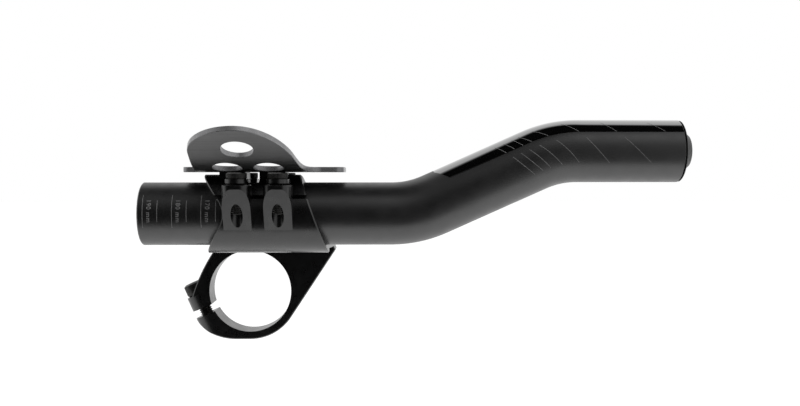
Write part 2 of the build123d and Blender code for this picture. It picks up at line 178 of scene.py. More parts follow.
class MarkSizes(PropertyGroup):
    """Gloss panel, length scale and hairlines on the tube."""

    film: length("Film", "Height of a printed mark over the tube", 0.00003)
    panel_edge: angle("Panel edge", "Angle of the gloss panel's edge above the tube's side", 36.0)
    panel_start: length("Panel start", "Distance of the panel's corner from the rear end", 0.1120)
    panel_slant: length("Panel slant", "How far the panel's end runs back towards its middle", 0.0042)
    first_tick: length("First tick", "Distance of the first tick from the rear end", 0.00205)
    tick_pitch: length("Tick pitch", "Distance between two ticks", 0.005)
    tick_width: length("Tick width", "Width of a tick", 0.00016)
    tick_middle: angle("Tick middle", "Angle of the scale's middle above the tube's side", 7.0)
    long_tick: angle("Long tick", "Angle that a numbered tick spans", 61.0)
    short_tick: angle("Short tick", "Angle that a plain tick spans", 39.0)
    tick_count: IntProperty(name="Ticks", description="Number of ticks", default=7, min=1)
    first_number: IntProperty(name="First number", description="Length at the first tick in mm", default=190)
    digit_height: length("Digit height", "Height of the numbers", 0.00155)
    digit_gap: length("Digit gap", "Distance from a tick to its number", 0.0014)
    number_start: angle("Number start", "Angle at which the numbers begin", 28.5)
    hair_width: length("Hairline width", "Width of a hairline", 0.00016)
    hair_count: IntProperty(name="Hairlines", description="Number of hairlines", default=8, min=1)
    hair_start: length("Hairline start", "Where the first hairline crosses the panel's edge", 0.1333)
    hair_step: length("Hairline step", "Distance between the first hairlines", 0.0032)
    hair_spread: length("Hairline spread", "Growth of that distance along the tube", 0.002)
    hair_lean: length("Hairline lean", "Advance of a hairline in one degree round the tube", 0.0001)
    hair_lean_growth: length("Lean growth", "Growth of the lean from one hairline to the next", 0.000025)


class ClampSizes(PropertyGroup):
    """Clamp body and cap."""

    edge: length("Edge", "Broken edges of the clamp", 0.0003)


class ClampBoltSizes(PropertyGroup):
    """Socket-head bolts of the tube clamp."""

    diameter: length("Diameter", "Outer diameter of the thread", 0.004)
    pitch: length("Pitch", "Pitch of the thread", 0.0007)
    head_diameter: length("Head diameter", "Diameter of the head", 0.007)
    head_height: length("Head height", "Height of the head", 0.0022)
    key: length("Key", "Width of the key across its flats", 0.003)
    key_depth: length("Key depth", "Depth of the key's recess", 0.0013)


class PinchBoltSizes(PropertyGroup):
    """Socket-head bolt of the handlebar ring."""

    diameter: length("Diameter", "Outer diameter of the thread", 0.005)
    pitch: length("Pitch", "Pitch of the thread", 0.0008)
    head_diameter: length("Head diameter", "Diameter of the head", 0.0085)
    head_height: length("Head height", "Height of the head", 0.005)
    key: length("Key", "Width of the key across its flats", 0.004)
    key_depth: length("Key depth", "Depth of the key's recess", 0.0025)
    lean: angle("Lean", "Angle of the bolt to the vertical", 24.0)


class ArmrestSizes(PropertyGroup):
    """Bent sheet of the armrest; its lengths start at its rear edge and its reaches at its bend."""

    thickness: length("Thickness", "Thickness of the sheet", 0.0018)
    flat_width: length("Flat width", "Width of the flat part", 0.035)
    bend_radius: length("Bend radius", "Radius inside the bend", 0.0382)
    lean: angle("Lean", "Slope of the wing", 26.5)
    reach: length("Reach", "Reach of the wing's top along the sheet", 0.0373)
    foot: length("Foot", "Where the wing's rear edge starts", 0.0054)
    shoulder: length("Shoulder", "Where the wing's rear edge turns round", 0.0061)
    top: length("Top", "Where the wing reaches furthest", 0.0224)
    waist: length("Waist", "Where the wing's front edge turns hollow", 0.0400)
    end: length("End", "Where the wing's front edge meets the flat part", 0.0490)
    shoulder_reach: length("Shoulder reach", "Reach of the rear shoulder", 0.0215)
    waist_reach: length("Waist reach", "Reach of the waist in the front edge", 0.0190)
    outer_corner: length("Outer corners", "Radius of the outboard corners", 0.003)
    inner_corner: length("Inner corners", "Radius of the inboard corners", 0.012)
    wing_hole: length("Wing hole", "Diameter of the hole in the wing", 0.0105)
    wing_hole_reach: length("Wing hole reach", "Reach of that hole's middle", 0.0247)
    key_hole: length("Key holes", "Diameter of the holes over the clamp bolts", 0.010)
    key_hole_offset: length("Key hole offset", "Distance of those holes from the screws", 0.0177)
    screw_hole: length("Screw holes", "Diameter of the screw holes", 0.0045)
    bevel: length("Edge bevel", "Broken edge all round", 0.00015)


class PlugSizes(PropertyGroup):
    """Push-in plug of the tube's tip."""

    flange_radius: length("Flange radius", "Radius of the flange", 0.0109)
    flange: length("Flange", "Front of the flange beyond the tube's end", 0.0006)
    groove: length("Groove", "Width of the joint between tube and flange", 0.00035)
    button: length("Button", "Front of the button beyond the tube's end", 0.0039)
    button_foot: length("Button foot", "Radius of the button at the flange", 0.0082)
    button_face: length("Button face", "Radius of the button's front", 0.0056)
    stem_length: length("Stem length", "Length of the stem inside the tube", 0.016)
    stem_wall: length("Stem wall", "Wall of the hollow stem", 0.0018)
    rib_height: length("Rib height", "Height of the ribs on the stem", 0.0005)
    rib_width: length("Rib width", "Width of a rib", 0.0014)
    rib_count: IntProperty(name="Ribs", description="Number of ribs", default=3, min=1)
    edge: length("Edge", "Broken edges of flange and button", 0.0002)


class FinishColours(PropertyGroup):
    """Colours of the finishes, as they are written in linear light."""

    tube: colour("Tube lacquer", "Satin lacquer of the tube", (0.0035, 0.0035, 0.0037))
    panel: colour("Gloss panel", "Gloss lacquer on top of the tube", (0.001, 0.001, 0.001))
    ink: colour("Ink", "Printed scale and hairlines", (0.19, 0.19, 0.19))
    clamp: colour("Clamp", "Anodised clamp", (0.002, 0.002, 0.0021))
    plate: colour("Armrest plate", "Anodised sheet", (0.005, 0.005, 0.0052))
    cut: colour("Cut edge", "Dulled metal of the sheet's cut edge", (0.23, 0.23, 0.235))
    steel: colour("Bolts", "Black oxide on steel", (0.028, 0.027, 0.026))
    plug: colour("Tip plug", "Moulded plastic", (0.010, 0.010, 0.010))
    floor: colour("Floor", "Pale studio floor", (0.82, 0.82, 0.82))


class StageSizes(PropertyGroup):
    """Camera, floor and lamp."""

    eye: position("Eye", "Place of the camera", (0.0487, -0.376, 0.0459))
    turn: angle("Turn", "Turn of the camera towards the tip", 1.52)
    dip: angle("Dip", "Tilt of the camera below the horizon", 1.78)
    lens: FloatProperty(
        name="Lens", description="Focal length on a 36 mm sensor, in mm", default=42.57, min=1
    )
    floor_drop: length("Floor drop", "Distance of the floor below the handlebar ring", 0.13)
    floor_reach: length("Floor reach", "Distance of the floor's edges to the sides and behind", 6.0)
    floor_front: length("Floor front", "Distance of the floor's edge before the handlebar's middle", 0.22)
    floor_glow: factor("Floor glow", "Light that the floor adds for the camera and for reflections", 0.66)
    ambient: factor("Ambient", "Level of the light from all round", 0.50)
    lamp_width: length("Lamp width", "Width of the soft lamp", 0.9)
    lamp_depth: length("Lamp depth", "Depth of the soft lamp", 0.45)
    lamp_place: position("Lamp place", "Place of the lamp from the object's middle", (0.32, -0.50, 0.72))
    lamp_power: FloatProperty(
        name="Lamp power", description="Power of the soft lamp", default=4.0, min=0, unit="POWER"
    )


# Finishes


class Finish:
    """A node material under construction: a shader fed by textures in the object's own coordinates."""

    def __init__(self, name):
        self.material = bpy.data.materials.new(name)
        self.material.use_nodes = True
        self.nodes = self.material.node_tree.nodes
        self.links = self.material.node_tree.links
        self.shader = self.nodes["Principled BSDF"]
        self.place = self.nodes.new("ShaderNodeTexCoord").outputs["Object"]

    def set(self, **sockets):
        """Plain values for the shader's sockets, with underscores for the spaces in their names."""
        for name, value in sockets.items():
            self.shader.inputs[name.replace("_", " ")].default_value = value

    def noise(self, size, detail=4.0, stretch=(1, 1, 1)):
        """Cloudy texture whose blotches are about this large."""
        mapping = self.nodes.new("ShaderNodeMapping")
        mapping.inputs["Scale"].default_value = stretch
        self.links.new(self.place, mapping.inputs["Vector"])
        texture = self.nodes.new("ShaderNodeTexNoise")
        texture.inputs["Scale"].default_value = 1 / size
        texture.inputs["Detail"].default_value = detail
        self.links.new(mapping.outputs["Vector"], texture.inputs["Vector"])
        return texture.outputs["Fac"]

    def pits(self, size):
        """Cell texture for a moulded surface."""
        texture = self.nodes.new("ShaderNodeTexVoronoi")
        texture.inputs["Scale"].default_value = 1 / size
        self.links.new(self.place, texture.inputs["Vector"])
        return texture.outputs["Distance"]

    def roughness(self, low, high, size, **grain):
        """Roughness that varies between two values in blotches of a given size."""
        share = self.noise(size, **grain)
        scale = self.nodes.new("ShaderNodeMapRange")
        scale.inputs["From Min"].default_value = NOISE_LOW
        scale.inputs["From Max"].default_value = NOISE_HIGH
        scale.inputs["To Min"].default_value = low
        scale.inputs["To Max"].default_value = high
        self.links.new(share, scale.inputs["Value"])
        self.links.new(scale.outputs["Result"], self.shader.inputs["Roughness"])

    def tint(self, base, change, size):
        """Base colour that varies round its value by a share of it, in blotches of a given size."""
        share = self.noise(size)
        mix = self.nodes.new("ShaderNodeValToRGB")
        dark, light = mix.color_ramp.elements
        dark.position, light.position = NOISE_LOW, NOISE_HIGH
        dark.color = [level * (1 - change) for level in base] + [1]
        light.color = [min(1, level * (1 + change)) for level in base] + [1]
        self.links.new(share, mix.inputs["Fac"])
        self.links.new(mix.outputs["Color"], self.shader.inputs["Base Color"])

    def relief(self, height, depth, strength):
        """Fine relief of a given depth."""
        bump = self.nodes.new("ShaderNodeBump")
        bump.inputs["Distance"].default_value = depth
        bump.inputs["Strength"].default_value = strength
        self.links.new(height, bump.inputs["Height"])
        self.links.new(bump.outputs["Normal"], self.shader.inputs["Normal"])


def satin_lacquer(base):
    """Satin lacquer with a fine orange peel."""
    finish = Finish("satin_lacquer")
    finish.set(Specular_IOR_Level=1.0)
    finish.tint(base, change=0.15, size=0.02)
    finish.roughness(0.36, 0.44, size=0.004)
    finish.relief(finish.noise(0.0005), depth=0.00001, strength=0.25)
    return finish.material


def gloss_lacquer(base):
    """Deep gloss lacquer under a clear coat."""
    finish = Finish("gloss_lacquer")
    finish.set(Specular_IOR_Level=0.8, Coat_Weight=1.0, Coat_IOR=2.6, Coat_Roughness=0.02)
    finish.tint(base, change=0.3, size=0.02)
    finish.roughness(0.06, 0.10, size=0.006)
    finish.relief(finish.noise(0.003), depth=0.00001, strength=0.08)
    return finish.material


def printing_ink(base):
    """Thin screen print with slightly uneven cover."""
    finish = Finish("printing_ink")
    finish.set(Specular_IOR_Level=0.3)
    finish.tint(base, change=0.25, size=0.0006)
    finish.roughness(0.5, 0.65, size=0.001)
    return finish.material


def blasted_anodising(base):
    """Black anodising over a fine blasted surface."""
    finish = Finish("blasted_anodising")
    finish.set(Specular_IOR_Level=0.75)
    finish.tint(base, change=0.2, size=0.012)
    finish.roughness(0.26, 0.34, size=0.003)
    finish.relief(finish.noise(0.0004, detail=2.0), depth=0.00001, strength=0.2)
    return finish.material


def brushed_anodising(base):
    """Black anodising over sheet that was brushed along the tube."""
    finish = Finish("brushed_anodising")
    finish.set(Specular_IOR_Level=1.0)
    finish.tint(base, change=0.2, size=0.015)
    finish.roughness(0.32, 0.46, size=0.0006, detail=3.0, stretch=(0.04, 1, 1))
    brushing = finish.noise(0.0004, detail=3.0, stretch=(0.03, 1, 1))
    finish.relief(brushing, depth=0.00001, strength=0.25)
    return finish.material


def cut_edge(base):
    """Dulled metal of a sheet's cut edge, finely tooled."""
    finish = Finish("cut_edge")
    finish.set(Metallic=0.65)
    finish.tint(base, change=0.12, size=0.002)
    finish.roughness(0.24, 0.34, size=0.0008)
    finish.relief(finish.noise(0.0003, detail=2.0), depth=0.000006, strength=0.2)
    return finish.material


def black_oxide(base):
    """Oiled black oxide on steel, worn a little lighter in patches."""
    finish = Finish("black_oxide")
    finish.set(Metallic=0.6, Specular_IOR_Level=0.5)
    finish.tint(base, change=0.45, size=0.0012)
    finish.roughness(0.26, 0.42, size=0.0008)
    finish.relief(finish.noise(0.0002), depth=0.000008, strength=0.2)
    return finish.material


def moulded_plastic(base):
    """Moulded plastic with a fine spark-eroded grain."""
    finish = Finish("moulded_plastic")
    finish.set(Specular_IOR_Level=0.5)
    finish.tint(base, change=0.2, size=0.006)
    finish.roughness(0.42, 0.56, size=0.001)
    finish.relief(finish.pits(0.00035), depth=0.00003, strength=0.35)
    return finish.material


def dress(node, material):
    """Gives a CAD node its finish."""
    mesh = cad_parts[node].data
    mesh.materials.clear()
    mesh.materials.append(material)


# Light


def ramp(nodes, links, value, first, last, low, high):
    """Smooth step of a number from one level to another."""
    step = nodes.new("ShaderNodeMapRange")
    step.interpolation_type = "SMOOTHSTEP"
    step.inputs["From Min"].default_value = first
    step.inputs["From Max"].default_value = last
    step.inputs["To Min"].default_value = low
    step.inputs["To Max"].default_value = high
    links.new(value, step.inputs["Value"])
    return step.outputs["Result"]


def combined(nodes, links, operation, first, *others):
    """Numbers combined one after another."""
    for other in others:
        step = nodes.new("ShaderNodeMath")
        step.operation = operation
        links.new(first, step.inputs[0])
        links.new(other, step.inputs[1])
        first = step.outputs[0]
    return first


def seen_directly(nodes, links, level):
    """This level for rays from the camera and for reflections, and nothing for other light."""
    path = nodes.new("ShaderNodeLightPath").outputs
    seen = combined(
        nodes, links, "MAXIMUM", path["Is Camera Ray"], path["Is Glossy Ray"], path["Is Transmission Ray"]
    )
    scaled = nodes.new("ShaderNodeMath")
    scaled.operation = "MULTIPLY"
    scaled.inputs[1].default_value = level
    links.new(seen, scaled.inputs[0])
    return scaled.outputs[0]


# Meshes


def break_edges(piece, width):
    """Small bevel along a piece's sharp edges."""
    bevel = piece.modifiers.new("broken_edges", "BEVEL")
    bevel.width = width
    bevel.segments = 1
    bevel.limit_method = "ANGLE"
    bevel.angle_limit = BREAK_ANGLE
    bevel.use_clamp_overlap = True


def add_piece(name, points, faces, material):
    """A smooth-shaded piece that rides on the object, sharp where it turns by more than the crease."""
    mesh = bpy.data.meshes.new(name)
    mesh.from_pydata(points, [], faces)
    mesh.materials.append(material)
    mesh.shade_smooth()
    mesh.set_sharp_from_angle(angle=CREASE)
    piece = bpy.data.objects.new(name, mesh)
    bpy.context.scene.collection.objects.link(piece)
    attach(piece, "root")
    return piece


def grid_faces(rows, columns, start=0, ring=False, closed=False):
    """Quads between rows of points; rings join their last point to their first, closed joins the last row."""
    faces = []
    for row in range(rows if closed else rows - 1):
        for column in range(columns if ring else columns - 1):
            here = start + row * columns
            there = start + (row + 1) % rows * columns
            after = (column + 1) % columns
            faces.append((here + column, here + after, there + after, there + column))
    return faces


def evenly(first, last, count):
    """Values from the first to the last in a number of equal steps."""
    return [first + (last - first) * index / count for index in range(count + 1)]


def spread(first, last, step):
    """Evenly spaced values from the first to the last, no further apart than the step."""
    return evenly(first, last, max(1, ceil(abs(last - first) / step)))


class TubeLine:
    """Centre line of the tube: three straights and two equal bends, from its rear end to its tip."""

    def __init__(self, sizes):
        bend, radius = sizes.bend_angle, sizes.bend_radius
        slope = (FRONT_Z - REAR_Z - 2 * radius * (1 - cos(bend))) / sin(bend)
        run = slope * cos(bend) + 2 * radius * sin(bend)
        rear = TUBE_HIGH.x - TUBE_LOW.x - run - sizes.front_straight
        self.parts = [
            (rear, 0),
            (radius * bend, 1 / radius),
            (slope, 0),
            (radius * bend, -1 / radius),
            (sizes.front_straight, 0),
        ]
        self.length = sum(part for part, curve in self.parts) - sizes.tip_trim

    def at(self, along):
        """Centre point and slope at a distance from the rear end."""
        x, z, slope = TUBE_LOW.x, REAR_Z, 0.0
        for part, curve in self.parts:
            done = min(along, part)
            along -= done
            if curve:
                turned = slope + done * curve
                x += (sin(turned) - sin(slope)) / curve
                z += (cos(slope) - cos(turned)) / curve
                slope = turned
            else:
                x += done * cos(slope)
                z += done * sin(slope)
        return Vector((x, TUBE_Y, z)), slope

    def point(self, along, turn, radius):
        """Point round the tube; a turn of zero faces outboard and a quarter turn faces up."""
        centre, slope = self.at(along)
        return centre + radius * Vector((-sin(slope) * sin(turn), -cos(turn), cos(slope) * sin(turn)))


class Marks:
    """Printed marks gathered into one mesh on the tube's surface."""

    def __init__(self, line, film):
        self.line = line
        self.radius = TUBE_RADIUS + film
        self.points = []
        self.faces = []

    def put(self, rows):
        """Sheet given by rows of places, each a distance along the tube and a turn round it."""
        start = len(self.points)
        for row in rows:
            self.points += [self.line.point(along, turn, self.radius) for along, turn in row]
        self.faces += grid_faces(len(rows), len(rows[0]), start)

    def stroke(self, width, first, last, turn_first, turn_last):
        """Line of a given width that runs from one place to another."""
        rows = []
        for share in spread(0, 1, STROKE_STEP / abs(turn_last - turn_first)):
            along = first + (last - first) * share
            turn = turn_first + (turn_last - turn_first) * share
            rows.append([(along + width / 2, turn), (along - width / 2, turn)])
        self.put(rows)

    def words(self, text, height, along, turn):
        """Text that reads down the tube's side, with the tops of its letters towards the tip."""
        curve = bpy.data.curves.new("number", "FONT")
        curve.body = text
        curve.resolution_u = LETTER_STEPS
        curve.space_character = LETTER_SPACING
        letters = bpy.data.objects.new("number", curve)
        mesh = bpy.data.meshes.new_from_object(letters)
        scale = height / max(vertex.co.y for vertex in mesh.vertices)
        start = len(self.points)
        for vertex in mesh.vertices:
            place = vertex.co * scale
            self.points.append(self.line.point(along + place.y, turn - place.x / TUBE_RADIUS, self.radius))
        self.faces += [tuple(start + index for index in face.vertices) for face in mesh.polygons]
        bpy.data.objects.remove(letters)
        bpy.data.curves.remove(curve)
        bpy.data.meshes.remove(mesh)


def hexagon(turn, across):
    """Distance from the middle to the side of a hexagon of a given width across its flats."""
    return across / 2 / cos((turn + pi / 6) % (pi / 3) - pi / 6)


class Turned:
    """Turned piece built from rings round its own axis, from its top down, and closed by its end rings."""

    def __init__(self):
        self.count = TURNED_POINTS
        self.rings = []

    def ring(self, height, radius):
        """Ring at a height; the radius is a number or depends on the ring's turn and the point's index."""
        ring = []
        for index in range(self.count):
            turn = -2 * pi * index / self.count
            reach = radius(turn, index) if callable(radius) else radius
            ring.append(Vector((reach * cos(turn), reach * sin(turn), height)))
        self.rings.append(ring)

    def socket(self, top, key, depth, edge):
        """Recess for a hexagonal key, with a broken edge, from its bottom up."""
        self.ring(top - depth, lambda turn, index: hexagon(turn, key))
        self.ring(top - edge, lambda turn, index: hexagon(turn, key))
        self.ring(top, lambda turn, index: hexagon(turn, key + 2 * edge))

    def thread(self, high, low, diameter, pitch):
        """Screw thread cut into a shank between two heights."""
        depth = THREAD_DEPTH * pitch
        for height in spread(high, low, pitch / THREAD_RINGS):
            def groove(turn, index, height=height):
                wave = abs((height / pitch - turn / (2 * pi)) % 1.0 - 0.5) * 2
                return diameter / 2 - depth * max(0.0, min(1.0, (wave - THREAD_CREST) / THREAD_FLANK))
            self.ring(height, groove)

    def placed(self, matrix):
        """Points and faces of the piece at its place."""
        points = [matrix @ point for ring in self.rings for point in ring]
        faces = grid_faces(len(self.rings), self.count, ring=True)
        faces.append(tuple(reversed(range(self.count))))
        faces.append(tuple(range(len(points) - self.count, len(points))))
        return points, faces


def socket_bolt(sizes, tip):
    """Socket-head bolt with a knurled head and a threaded shank that ends this far below its seat."""
    radius = sizes.head_diameter / 2
    edge = sizes.head_height * HEAD_EDGE
    bolt = Turned()
    bolt.socket(sizes.head_height, sizes.key, sizes.key_depth, edge / 2)
    bolt.ring(sizes.head_height, radius - 2 * edge)
    bolt.ring(sizes.head_height - edge, radius - edge / 4)
    for height in (sizes.head_height - 1.4 * edge, 2 * edge):
        bolt.ring(height, lambda turn, index: radius - KNURL * (index % 2))
    bolt.ring(edge, radius - KNURL)
    bolt.ring(0, radius - edge)
    bolt.ring(0, sizes.diameter / 2)
    point = sizes.diameter * BOLT_POINT
    bolt.thread(-sizes.pitch, point - tip, sizes.diameter, sizes.pitch)
    bolt.ring(-tip, sizes.diameter / 2 - 2 * point)
    return bolt


def bezier(*ends):
    """Points of a cubic curve between the first and the last of four ends, without its last point."""
    points = []
    for share in evenly(0, 1, CURVE_STEPS)[:-1]:
        rest = 1 - share
        weights = rest**3, 3 * rest**2 * share, 3 * rest * share**2, share**3
        points.append(sum((weight * end for weight, end in zip(weights, ends)), Vector((0, 0))))
    return points


def arc(centre, radius, first, last, count):
    """Points of a circular arc between two angles in degrees."""
    turns = [radians(turn) for turn in evenly(first, last, count)]
    return [Vector((centre[0] + radius * cos(turn), centre[1] + radius * sin(turn))) for turn in turns]


def moved_in(loop, width):
    """Loop moved to its left by a width, which is into the sheet."""
    moved = []
    for index, point in enumerate(loop):
        along = (loop[(index + 1) % len(loop)] - loop[index - 1]).normalized()
        moved.append(point + width * Vector((-along.y, along.x)))
    return moved


def encloses(loop, point):
    """Whether a loop goes round a point."""
    inside = False
    for index, here in enumerate(loop):
        before = loop[index - 1]
        if (here.y > point.y) != (before.y > point.y):
            if point.x < here.x + (point.y - here.y) / (before.y - here.y) * (before.x - here.x):
                inside = not inside
    return inside


class BentSheet:
    """Sheet with a flat part and a wing that bends up, drawn flat and then folded.

    A place on it has a distance along X and a reach outboard from the start of the bend.
    """

    def __init__(self, sizes):
        self.sizes = sizes
        self.low, self.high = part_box("armrest_plate")
        self.root = self.high.y - sizes.flat_width
        self.bend = (sizes.bend_radius + sizes.thickness / 2) * sizes.lean
        self.loops = []
        self.flares = []

    def folded(self, place, height):
        """Point at a place and a height through the sheet."""
        sizes, reach = self.sizes, place.y
        if reach <= 0:
            return Vector((place.x, self.root - reach, self.low.z + height))
        turn = min(reach / self.bend, 1) * sizes.lean
        radius = sizes.bend_radius + sizes.thickness - height
        y = self.root - radius * sin(turn)
        z = self.low.z + sizes.bend_radius + sizes.thickness - radius * cos(turn)
        slope = max(0, reach - self.bend)
        return Vector((place.x, y - slope * cos(sizes.lean), z + slope * sin(sizes.lean)))

    def outline(self):
        """Flat part with round corners, and the wing with a full rear and a raked, hollow front."""
        sizes = self.sizes
        rear, front, inner = self.low.x, self.high.x, -sizes.flat_width
        top = Vector((rear + sizes.top, sizes.reach))
        foot = Vector((rear + sizes.foot, 0))
        shoulder = Vector((rear + sizes.shoulder, sizes.shoulder_reach))
        waist = Vector((rear + sizes.waist, sizes.waist_reach))
        end = Vector((rear + sizes.end, 0))
        over_waist, over_shoulder = Vector((waist.x, top.y)), Vector((shoulder.x, top.y))
        small, large = sizes.outer_corner, sizes.inner_corner
        loop = arc((front - large, inner + large), large, -90, 0, LARGE_CORNER_STEPS)
        loop += arc((front - small, -small), small, 0, 90, SMALL_CORNER_STEPS)
        loop += bezier(
            end, end.lerp(foot, END_PULL), waist + WAIST_PULL_OUT * sizes.waist_reach * RAKE, waist
        )
        loop += bezier(
            waist, waist - WAIST_PULL_IN * sizes.waist_reach * RAKE, top.lerp(over_waist, TOP_PULL), top
        )
        pulls = [corner.lerp(over_shoulder, SHOULDER_PULL) for corner in (top, shoulder)]
        loop += bezier(top, *pulls, shoulder)
        loop += [shoulder.lerp(foot, share) for share in evenly(0, 1, REAR_EDGE_STEPS)]
        loop += arc((rear + small, -small), small, 90, 180, SMALL_CORNER_STEPS)
        loop += arc((rear + large, inner + large), large, 180, 270, LARGE_CORNER_STEPS)
        self.loops.append(loop)
        self.flares.append(None)

    def hole(self, x, reach, radius, flare=None):
        """Round hole; a flare gives its radius at the underside as a share of that at the top."""
        loop = arc((x, reach), radius, 360, 0, HOLE_STEPS)[:-1]
        self.loops.append(loop)
        self.flares.append(None if flare is None else (Vector((x, reach)), flare))

    def bent_hole(self, x, y, radius):
        """Hole that is round when it is seen from above."""
        neutral = self.sizes.bend_radius + self.sizes.thickness / 2
        loop = arc((x, self.root - y), radius, 360, 0, HOLE_STEPS)[:-1]
        self.loops.append([Vector((point.x, neutral * asin(point.y / neutral))) for point in loop])
        self.flares.append(None)

    def flared(self, loop, flare):
        """Loop at the underside, drawn in where its hole is countersunk."""
        if flare is None:
            return loop
        middle, share = flare
        return [middle + share * (place - middle) for place in loop]

    def filling(self, loops):
        """Points spread over the sheet, clear of its edges."""
        places = []
        for x in spread(self.low.x, self.high.x, FILL_STEP):
            for reach in spread(-self.sizes.flat_width, self.sizes.reach, FILL_STEP):
                place = Vector((x, reach))
                if sum(encloses(loop, place) for loop in loops) != 1:
                    continue
                if all((place - point).length > FILL_STEP / 3 for loop in loops for point in loop):
                    places.append(place)
        return places

    def mesh(self):
        """Points of the folded sheet, the faces of its two sides and the faces of its edges."""
        bevel, thickness = self.sizes.bevel, self.sizes.thickness
        inner = [moved_in(loop, bevel) for loop in self.loops]
        places, borders, starts = [], [], []
        for loop in inner:
            start = len(places)
            starts.append(start)
            places += loop
            borders += [(start + index, start + (index + 1) % len(loop)) for index in range(len(loop))]
        places += self.filling(inner)
        scale = 1 / MILLIMETRE
        scaled = [place * scale for place in places]
        found = delaunay_2d_cdt(scaled, borders, [], KEEP_INSIDE, FILL_TOLERANCE)
        faces, sources = found[2], found[3]
        triangles = []
        for face in faces:
            corners = [sources[index][0] for index in face]
            middle = sum((places[corner] for corner in corners), Vector((0, 0))) / len(corners)
            if sum(encloses(loop, middle) for loop in inner) == 1:
                triangles.append(corners)
        under = list(places)
        for start, loop, flare in zip(starts, inner, self.flares):
            under[start:start + len(loop)] = self.flared(loop, flare)
        points = [self.folded(place, thickness) for place in places]
        points += [self.folded(place, 0) for place in under]
        count = len(places)
        sides = [tuple(reversed(face)) for face in triangles]
        sides += [tuple(count + index for index in face) for face in triangles]
        edges = []
        for start, loop, flare in zip(starts, self.loops, self.flares):
            size = len(loop)
            first = len(points)
            points += [self.folded(place, thickness - bevel) for place in loop]
            points += [self.folded(place, bevel) for place in self.flared(loop, flare)]
            rings = [start, first, first + size, count + start]
            for above, below in zip(rings, rings[1:]):
                for index in range(size):
                    after = (index + 1) % size
                    edges.append((above + index, above + after, below + after, below + index))
        return points, sides, edges


# Pieces


class AEROBAR_OT_tube(Operator):
    """Sweep the S-bend tube with its bore and the broken edges of its ends"""

    bl_idname = "aerobar.tube"
    bl_label = "Extension Tube"

    def execute(self, context):
        sizes = context.scene.aerobar_tube
        line = TubeLine(sizes)
        bore = TUBE_RADIUS - sizes.wall
        edge = sizes.edge
        stations = spread(edge, line.length - edge, sizes.ring_step)
        profile = [(0.0, bore + edge), (0.0, TUBE_RADIUS - edge)]
        profile += [(along, TUBE_RADIUS) for along in stations]
        profile += [(line.length, TUBE_RADIUS - edge), (line.length, bore + edge)]
        profile += [(along, bore) for along in reversed(stations)]
        points = []
        for along, radius in profile:
            for index in range(sizes.ring_points):
                points.append(line.point(along, -2 * pi * index / sizes.ring_points, radius))
        faces = grid_faces(len(profile), sizes.ring_points, ring=True, closed=True)
        material = satin_lacquer(context.scene.aerobar_colours.tube)
        tube = add_piece("extension_tube_satin", points, faces, material)
        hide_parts("extension_tube")
        return {"FINISHED"}


class AEROBAR_OT_panel(Operator):
    """Lay the gloss panel over the top of the tube"""

    bl_idname = "aerobar.gloss_panel"
    bl_label = "Gloss Panel"

    def execute(self, context):
        sizes, tube = context.scene.aerobar_marks, context.scene.aerobar_tube
        line = TubeLine(tube)
        marks = Marks(line, sizes.film)
        count = ceil(line.length / tube.ring_step / PANEL_RING_STEPS)
        rows = []
        for turn in spread(sizes.panel_edge, pi - sizes.panel_edge, PANEL_TURN_STEP):
            rise = 1 - abs(turn - pi / 2) / (pi / 2 - sizes.panel_edge)
            start = sizes.panel_start - sizes.panel_slant * min(1.0, PANEL_CORNER_RISE * rise)
            rows.append([(along, turn) for along in evenly(start, line.length - tube.edge, count)])
        marks.put(rows)
        material = gloss_lacquer(context.scene.aerobar_colours.panel)
        add_piece("gloss_panel", marks.points, marks.faces, material)
        return {"FINISHED"}


class AEROBAR_OT_scale(Operator):
    """Print the length scale on the rear of the tube"""

    bl_idname = "aerobar.scale"
    bl_label = "Length Scale"

    def execute(self, context):
        sizes = context.scene.aerobar_marks
        marks = Marks(TubeLine(context.scene.aerobar_tube), sizes.film)
        for index in range(sizes.tick_count):
            along = sizes.first_tick + index * sizes.tick_pitch
            numbered = index % 2 == 0
            half = (sizes.long_tick if numbered else sizes.short_tick) / 2
            marks.stroke(sizes.tick_width, along, along, sizes.tick_middle + half, sizes.tick_middle - half)
            if numbered:
                number = sizes.first_number - round(index * sizes.tick_pitch / MILLIMETRE)
                marks.words(f"{number} mm", sizes.digit_height, along + sizes.digit_gap, sizes.number_start)
        material = printing_ink(context.scene.aerobar_colours.ink)
        add_piece("length_scale", marks.points, marks.faces, material)
        return {"FINISHED"}


class AEROBAR_OT_hairlines(Operator):
    """Print the slanted hairlines on the gloss panel and below it"""

    bl_idname = "aerobar.hairlines"
    bl_label = "Hairlines"

    def execute(self, context):
        sizes = context.scene.aerobar_marks
        marks = Marks(TubeLine(context.scene.aerobar_tube), 2 * sizes.film)
        for index in range(sizes.hair_count):
            wide = max(0, index - HAIR_EVEN_STEPS)
            start = sizes.hair_start + sizes.hair_step * index + sizes.hair_spread * wide**2
            growth = sizes.hair_lean_growth * max(0, index - HAIR_EQUAL_LEANS)
            lean = (sizes.hair_lean + growth) / radians(1.0)
            last = index == sizes.hair_count - 1
            for high, low in [HAIR_ON_PANEL] if last else [HAIR_ON_PANEL, HAIR_BELOW_PANEL]:
                turns = radians(high), radians(low)
                places = [start + lean * (sizes.panel_edge - turn) for turn in turns]
                marks.stroke(sizes.hair_width, *places, *turns)
        material = printing_ink(context.scene.aerobar_colours.ink)
        add_piece("hairlines", marks.points, marks.faces, material)
        return {"FINISHED"}


class AEROBAR_OT_clamp(Operator):
    """Finish the clamp's body and cap"""

    bl_idname = "aerobar.clamp"
    bl_label = "Tube Clamp"

    def execute(self, context):
        material = blasted_anodising(context.scene.aerobar_colours.clamp)
        edge = context.scene.aerobar_clamp.edge
        for node in ("clamp_body", "clamp_cap"):
            dress(node, material)
            break_edges(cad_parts[node], edge)
        return {"FINISHED"}


